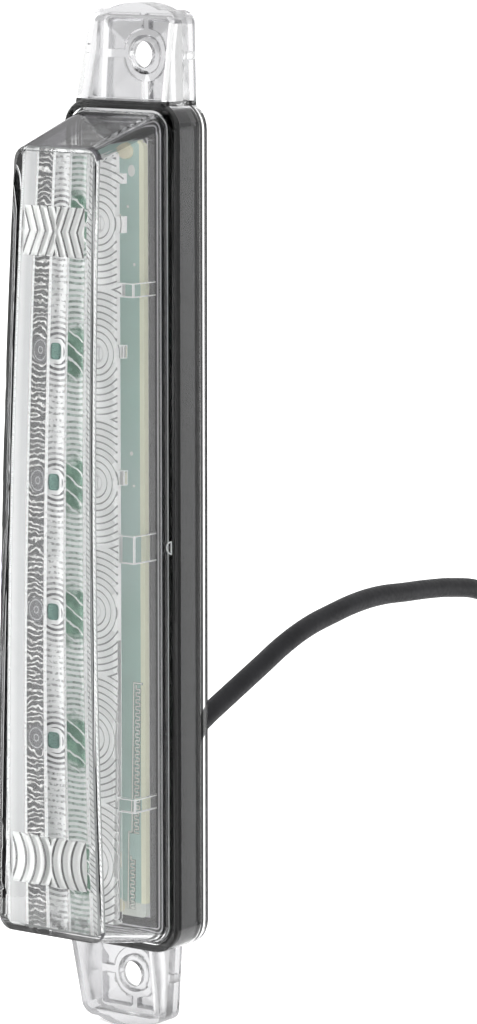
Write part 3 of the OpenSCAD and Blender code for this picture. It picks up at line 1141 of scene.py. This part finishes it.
    def tinted(self) -> Material:
        """The clear plastic of the ribbed face, painted with what is seen through each column,
        with its light and shade.

        Returns:
            The material.
        """
        n = Nodes(
            "ribbed_plastic", Roughness=0.25, IOR=CLEAR_IOR, Transmission_Weight=0.6, Metallic=0.0
        )
        relief = self.relief
        pitch = relief.column
        z = n.axis("Z")
        full = n.axis("X") * relief.half_face / (z * -relief.taper + relief.half_face)
        across = full - relief.middle
        local = across.wrap(pitch / 2, -pitch / 2)
        first = LED_PLACES[2] + relief.window_up
        lens = n.use(lens_axis, Across=local * relief.oval, First=first)
        along, r = lens["Along"], lens["Radius"]
        cloud = n.noise(330.0, 3.0)
        thread = n.noise(1100.0, 3.0).ramp(0.42, 0.6, 0.0, 0.75)
        wave = (r / relief.rib_pitch).wave()
        plain = (0.92, 0.93, 0.93)

        # side column: plain, with painted shade to the right and at the foot
        side = across.ramp(-2.45 * pitch, -1.9 * pitch).mix(grey(0.80), (0.46, 0.465, 0.47))
        side = z.ramp(-50.0, -92.0, 0.0, 0.45).mix(side, grey(0.25))

        # dark column: painted light arcs, and a smooth oval before each LED
        oval = ((local / 2.3) ** 2.0 + (along / 2.9) ** 2.0).sqrt()
        lace = ((cloud * 3.6 + r) / relief.rib_pitch).wave().ramp(0.35, 0.8)
        lace = lace * n.noise(900.0, 2.0).ramp(0.38, 0.62, 0.25, 1.0)
        rings = abs((oval * 1.9).fract() - 0.5).ramp(0.04, 0.12, 1.0, 0.0)
        smooth = rings.mix((0.07, 0.07, 0.075), (0.28, 0.28, 0.29))
        dark = (oval < 1.0).mix(lace.mix((0.05, 0.05, 0.052), (0.85, 0.85, 0.83)), smooth)

        # window column: a green window before each LED, with painted dark bands above and below
        blend = r.ramp(4.0, 9.0)
        bands = wave.ramp(-0.2, 0.3) * (1.0 - blend + blend * thread)
        w, h = relief.window_half
        inside = abs((local + relief.window_left) / w) ** 4.0 + abs(along / h) ** 4.0
        window = (inside < 5.0).mix(bands.mix(plain, (0.12, 0.12, 0.125)), (0.97, 0.98, 0.98))
        window = (inside < 1.0).mix(window, (0.06, 0.15, 0.12))

        # green column: green near the LEDs, with white slanted lines
        slant = ((cloud * 2.4 + (local * 0.6 + along)) / 3.3).fract()
        deep = cloud.ramp(0.4, 0.6).mix((0.07, 0.17, 0.11), (0.15, 0.32, 0.22))
        green = abs(slant - 0.5).ramp(0.05, 0.1, 1.0, 0.0).mix(deep, (0.95, 0.97, 0.96))
        pale = wave.ramp(-0.3, 0.5).mix((0.92, 0.95, 0.94), (0.5, 0.62, 0.56))
        pale = (thread * wave.ramp(0.0, 0.5)).mix(pale, (0.12, 0.17, 0.14))
        green = (cloud * 7.0 + abs(along)).ramp(8.0, 10.5).mix(green, pale)

        # slanted column: fine slanted ribs
        fine = ((local * relief.slant + z) / relief.slant_pitch).wave()
        ribs = fine.ramp(0.6, 0.9).mix((0.98, 0.99, 0.99), grey(0.16))

        colour = (across < -1.5 * pitch).mix(plain, side)
        for column, look in (
            (Column.DARK, dark), (Column.WINDOW, window),
            (Column.GREEN, green), (Column.SLANTED, ribs),
        ):
            colour = across.near(column * pitch, pitch / 2 - 0.05).mix(colour, look)
        # Painted shade: dark patches at the foot of the middle columns.
        foot = z.ramp(-84.0, -91.0, 0.0, 0.85) * n.noise(420.0, 3.0).ramp(0.45, 0.58)
        colour = (foot * across.near(0.0, 1.5 * pitch)).mix(colour, (0.05, 0.055, 0.05))
        inside, lines = self.strokes(full, z)
        n.set(Base_Color=inside.mix(colour, lines.mix((0.95, 0.96, 0.95), grey(0.10))))
        return n.material


@dataclass
class WeldLine:
    """The pale line of the weld between the cover and the tray, seen through the cover."""

    inset: Pair = (2.75, 3.1)
    front: float = -10.73
    corner_steps: int = 8

    def outline(self, inset: float) -> list[Pair]:
        """The lamp's outline moved in.

        Args:
            inset: How far it is moved in.

        Returns:
            Its points in X and Z.
        """
        r = CORNER_R - inset
        points = []
        for quarter, (sx, sz) in enumerate(((1, 1), (-1, 1), (-1, -1), (1, -1))):
            z = (SKIRT_TOP if sz > 0 else SKIRT_BOTTOM) - sz * (inset + r)
            x = sx * (HALF_WIDTH - SIDE_LEAN * z - inset - r)
            for i in range(self.corner_steps + 1):
                angle = math.pi / 2 * (quarter + i / self.corner_steps)
                points.append((x + r * math.cos(angle), z + r * math.sin(angle)))
        return points

    def build(self) -> None:
        """Makes the line as a closed ribbon."""
        bm = bmesh.new()
        rings = [
            [bm.verts.new((x, self.front, z)) for x, z in self.outline(inset)]
            for inset in self.inset
        ]
        outer, inner = rings
        for i in range(len(outer)):
            bm.faces.new((outer[i - 1], outer[i], inner[i], inner[i - 1]))
        weld = GrainedPlastic("weld", (0.8, 0.81, 0.82), 0.5, 900.0, 0.01, 0.1).make()
        settle(finish_mesh(bm, "weld_line", weld), "clear_plastic")


# ------------ board


def add_bar(bm: BMesh, low: Point, high: Point) -> None:
    """Adds a block between two corners.

    Args:
        bm: The mesh.
        low: Lowest corner.
        high: Highest corner.
    """
    low, high = Vector(low), Vector(high)
    place = Matrix.LocRotScale((low + high) / 2, None, high - low)
    bmesh.ops.create_cube(bm, size=1.0, matrix=place)


@dataclass
class BoardTracks:
    """The light tracks and pads on the board's front."""

    front: float = -14.2
    height: float = 0.06
    width: float = 0.3
    # Width of the dark painted shadow round each track.
    border: float = 0.52
    xs: Point = (6.6, 7.3, 8.4)
    zs: Pair = (-71.0, -36.0)
    tail: float = 0.5
    lower_shift: float = -0.9
    lower_zs: Pair = (-88.8, -76.0)
    step: float = 0.8
    pads: Sequence[tuple[float, float, float, float]] = (
        (4.3, 81.6, 1.0, 1.35), (3.4, 73.4, 0.35, 0.35), (5.4, 60.3, 0.35, 0.4),
        (5.2, 17.0, 0.45, 0.5), (6.0, 9.6, 0.35, 0.3), (3.2, -84.6, 0.4, 0.6),
    )

    def meander(self, xs: Pair, zs: Pair) -> list[tuple[Pair, Pair]]:
        """A square-wave track along the board.

        Args:
            xs: Its two sides.
            zs: Its lower and upper end.

        Returns:
            The ends of its straight parts.
        """
        parts = []
        for i in range(int((zs[1] - zs[0]) / self.step)):
            z = zs[0] + i * self.step
            x = xs[i % 2]
            parts += [((xs[0], z), (xs[1], z)), ((x, z), (x, z + self.step))]
        return parts

    def build(self) -> None:
        """Makes the tracks with painted shadows round them, and the pads."""
        (side, left, right), (low, high) = self.xs, self.zs
        foot, top = self.lower_zs
        lower_side, lower_left, lower_right = (x + self.lower_shift for x in self.xs)
        parts = [
            *self.meander((left, right), (low, high)),
            ((side, low), (side, high)),
            ((side, high), (right + self.tail, high)),
            *self.meander((lower_left, lower_right), (foot, top)),
            ((lower_side, foot), (lower_side, top)),
            ((lower_side, low), (side, low)),
            ((lower_side, top), (lower_side, low)),
        ]
        for name, colour, width, height in (
            ("board_tracks", (1.0, 1.0, 0.9), self.width, self.height),
            # painted shadow: a wider, thinner dark copy under each track
            ("track_painted_shadows", (0.17, 0.22, 0.17), self.border, self.height / 2),
        ):
            bm, w = bmesh.new(), width / 2
            for start, end in parts:
                (x0, x1), (z0, z1) = map(sorted, zip(start, end))
                high = (x1 + w, self.front + TOUCH, z1 + w)
                add_bar(bm, (x0 - w, self.front - height, z0 - w), high)
            material = GrainedPlastic(name, colour, 0.35, 900.0, 0.01, 0.08).make()
            settle(finish_mesh(bm, name, material), "board")
        bm = bmesh.new()
        turn = Matrix.Rotation(math.pi / 2, 4, "X")
        for x, z, rx, rz in self.pads:
            at = Vector((x, self.front - self.height / 2 + TOUCH, z))
            place = Matrix.LocRotScale(at, None, Vector((rx, 1.0, rz))) @ turn
            bmesh.ops.create_cone(
                bm, cap_ends=True, segments=24, radius1=1.0, radius2=1.0, depth=self.height,
                matrix=place,
            )
        pad = GrainedPlastic("pad", (0.86, 0.87, 0.84), 0.3, 900.0, 0.01, 0.05).make()
        settle(finish_mesh(bm, "board_pads", pad), "board")


# ------------ ring strip


@dataclass
class RingStrip:
    """The ring-lens strip, whose arms and lugs are clear with bright edges."""

    frame: dict
    strip_half: float = 6.75
    arm_from: float = 7.05
    edge: float = 0.2
    front_y: float = -20.7
    led_window: Pair = (0.95, 1.5)
    first_r: float = 2.2
    ring_pitch: float = 1.5

    def build(self) -> None:
        """Makes the strip from a merged copy of its solid."""
        bm = node_copy(self.frame, "optic_strip")
        for side in (-1.0, 1.0):
            bmesh.ops.bisect_plane(
                bm, geom=[*bm.verts, *bm.edges, *bm.faces], dist=0.0005,
                plane_co=(side * self.strip_half, 0.0, 0.0), plane_no=(side, 0.0, 0.0),
            )
        arms = [
            f for f in bm.faces
            if max(abs(v.co.x) for v in f.verts) > self.arm_from
            and min(abs(v.co.x) for v in f.verts) > self.strip_half - TOUCH
        ]
        for f in arms:
            f.material_index = StripSkin.ARM
        edges = [
            e for e in bm.edges
            if e.link_faces and all(f.material_index == StripSkin.ARM for f in e.link_faces)
        ]
        inner = set(edges)
        bmesh.ops.dissolve_limit(
            bm, angle_limit=math.radians(1.0), use_dissolve_boundaries=False,
            verts=[v for v in bm.verts if not inner.isdisjoint(v.link_edges)], edges=edges,
        )
        arms = [f for f in bm.faces if f.material_index == StripSkin.ARM]
        rims = bmesh.ops.inset_individual(
            bm, faces=[f for f in arms if f.calc_area() > 1.0], thickness=self.edge,
            use_even_offset=True,
        )["faces"]
        for f in rims:
            f.material_index = StripSkin.ARM_EDGE
        piece = finish_mesh(
            bm, "ring_strip", self.ring_plastic(),
            ClearPlastic("arm_plastic", (0.97, 0.98, 0.98), 1.12).make(),
            FrostedPlastic("arm_edge", WHITE, 0.0, 0.5).make(), sharp_deg=25.0,
        )
        settle(piece, "optic_plastic", "optic_strip")

    def ring_plastic(self) -> Material:
        """The ring lenses' plastic, white where its teeth scatter light and grey at their edges.

        Returns:
            The material.
        """
        n = Nodes(
            "optic_plastic", Roughness=0.2, IOR=CLEAR_IOR, Transmission_Weight=0.1, Metallic=0.0
        )
        x = n.axis("X")
        lens = n.use(lens_axis, Across=x, First=LED_PLACES[2])
        r = lens["Radius"]
        saw = ((r - self.first_r) / self.ring_pitch).fract()
        line = abs(saw - 0.85).ramp(0.06, 0.16, 1.0, 0.0)
        line = line * n.axis("Y").ramp(self.front_y + 0.1, self.front_y - 0.1)
        line = line * r.ramp(2.4, 3.2, 0.3, 1.0)
        w, h = self.led_window
        box = abs(x) / w | abs(lens["Along"]) / h
        rim = abs(box - 1.0).ramp(0.05, 0.16, 0.5, 0.0)
        n.set(Base_Color=(line | rim).mix(WHITE, grey(0.22)))
        return n.material


# ------------ dressing


@dataclass
class Dressing:
    """Finishes for the solids that keep their own shape."""

    frame: dict
    streak_pitch: float = 0.9
    board_half: float = 9.15
    board_foot: float = -87.2

    def tray_plastic(self) -> Material:
        """Black plastic, with the streaks of light along the tray's rim under the cover.

        Returns:
            The material.
        """
        n = Nodes("black_plastic", IOR=1.5, Specular_IOR_Level=0.2)
        fine = n.use(grain, Scale=1400.0, Roughness=0.5)
        inset = n.use(outline_inset)["Inset"]
        front = n.axis("Y").ramp(-10.8, -10.75, 1.0, 0.0)
        streak = (inset / self.streak_pitch).wave().ramp(-0.2, 0.9)
        streak = streak * inset.ramp(3.6, 4.4, 0.4, 1.0)
        broad = n.noise(90.0, 3.0).ramp(0.35, 0.65)
        broad = broad.mix((0.010, 0.010, 0.011), (0.016, 0.016, 0.018))
        n.set(
            Base_Color=(streak * front).mix(broad, (0.60, 0.59, 0.62)),
            Roughness=fine["Roughness"],
        )
        n.bump(fine["Height"], 0.1, 0.01)
        return n.material

    def solder_mask(self) -> Material:
        """The board: green mask with a bare cream border and a light lower end.

        Returns:
            The material.
        """
        n = Nodes("board", Roughness=0.35, IOR=1.5, Metallic=0.0)
        z = n.axis("Z")
        border = (z * -SIDE_LEAN + self.board_half - abs(n.axis("X"))).ramp(1.2, 1.35, 1.0, 0.0)
        mask = n.noise(28.0).ramp(0.4, 0.6).mix((0.37, 0.56, 0.50), (0.47, 0.64, 0.60))
        colour = border.mix(mask, (0.88, 0.88, 0.66))
        low = z.ramp(self.board_foot, self.board_foot - 0.4)
        n.set(Base_Color=low.mix(colour, (0.66, 0.69, 0.64)))
        n.bump(n.noise(700.0), 0.1, 0.01)
        return n.material

    def build(self) -> None:
        """Gives each node its finish."""
        dressed = [
            (self.tray_plastic(), ("housing",)),
            (self.solder_mask(), ("circuit_board",)),
            (TinnedMetal("ferrule_metal").make(), ("ferrule_plus", "ferrule_minus")),
        ]
        for name, colour, roughness, nodes in (
            ("rivet", (0.75, 0.7, 0.52), 0.4, ("board_rivets",)),
            ("bush_rubber", (0.02, 0.02, 0.022), 0.5, ("cable_bush",)),
            ("tie", grey(0.03), 0.4, ("cord_tie",)),
            ("led_body", (0.85, 0.83, 0.7), 0.3, [f"led_{i}" for i in range(1, 7)]),
            ("chip", grey(0.03), 0.5, ("resistor_1", "resistor_2", "resistor_3", "diode")),
            ("core_brown", (0.12, 0.05, 0.025), 0.4, ("lead_plus", "core_plus")),
            ("core_white", grey(0.75), 0.4, ("lead_minus", "core_minus")),
        ):
            dressed.append((GrainedPlastic(name, colour, roughness).make(), nodes))
        for material, nodes in dressed:
            for name in nodes:
                slots = self.frame["nodes"][name].data.materials
                slots.clear()
                slots.append(material)


def main() -> None:
    """Builds the lamp in order."""
    logging.basicConfig(level=logging.INFO, format="%(message)s")
    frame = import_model()
    Studio().build()
    Cable(frame).build()
    Cover(frame).build()
    WeldLine().build()
    RingStrip(frame).build()
    BoardTracks().build()
    Dressing(frame).build()


if __name__ == "__main__":
    main()
